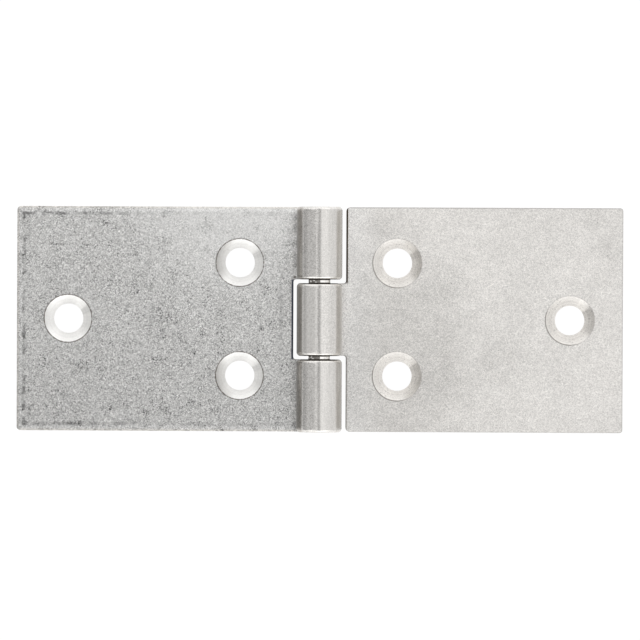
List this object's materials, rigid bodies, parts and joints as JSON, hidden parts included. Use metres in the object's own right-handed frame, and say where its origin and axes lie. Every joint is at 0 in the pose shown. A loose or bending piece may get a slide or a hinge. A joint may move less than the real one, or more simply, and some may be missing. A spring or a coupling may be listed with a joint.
{
  "type": "drop leaf table hinge",
  "caption": "Flat rolled steel table hinge: two plain rectangular leaves with countersunk screw holes, turning on a concealed pin.",
  "frame": {"origin": "under the middle of the pin, on the plane of both leaves' undersides, with the hinge open flat", "axes": "+X towards the leaf with one knuckle, +Y along the pin, +Z out of the countersunk faces, which are on the knuckles' side"},
  "size_m": [0.0804, 0.0298, 0.006],
  "materials": {
    "dull_steel": "bare tumbled steel, grey and finely mottled",
    "bright_steel": "bare steel, pale, smooth and slightly warm, with faint clouds",
    "pin_steel": "drawn steel wire"
  },
  "bodies": {
    "fixed_leaf": {"leaf_two_knuckles": "dull_steel", "hinge_pin": "pin_steel"},
    "swinging_leaf": {"leaf_one_knuckle": "bright_steel"}
  },
  "joints": [
    {"name": "leaf_swing", "type": "hinge", "parent": "fixed_leaf", "child": "swinging_leaf", "pos_m": [0, 0, 0.003], "axis": [0, -1, 0], "range_deg": [-97, 184]}
  ]
}
